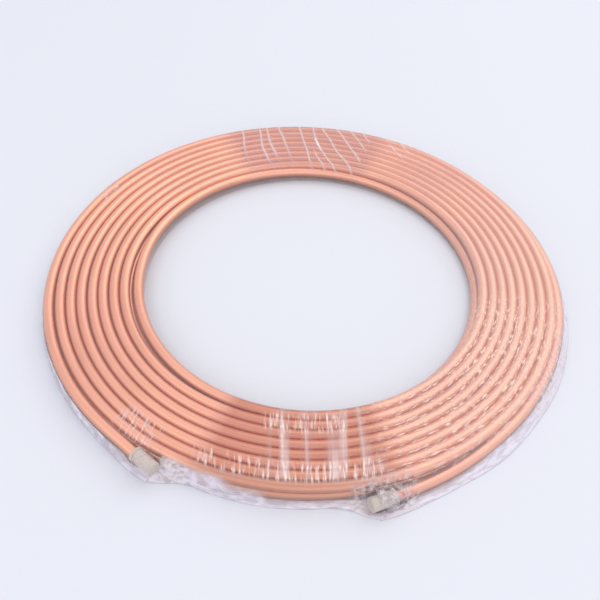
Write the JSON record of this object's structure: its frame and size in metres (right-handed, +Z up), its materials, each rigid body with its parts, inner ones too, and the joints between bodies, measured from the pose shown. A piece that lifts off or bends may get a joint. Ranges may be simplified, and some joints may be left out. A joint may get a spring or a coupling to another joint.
{
  "type": "copper tube coil",
  "caption": "Flat coil of soft copper tube in two rows round an open eye, with capped ends, wrapped in clear film.",
  "frame": {"origin": "on the floor, at the middle of the eye of the coil", "axes": "+Z up along the axis of the coil; -Y is the side where both ends of the tube leave the coil"},
  "size_m": [0.3327, 0.3315, 0.0152],
  "materials": {
    "copper": "bright drawn copper",
    "cap_plastic": "translucent grey-beige moulded",
    "clear_film": "clear thin plastic film"
  },
  "bodies": {
    "root": {"copper_tube_coil": "copper", "lower_end_cap": "cap_plastic", "upper_end_cap": "cap_plastic", "clear_film_wrap": "clear_film"}
  },
  "joints": []
}
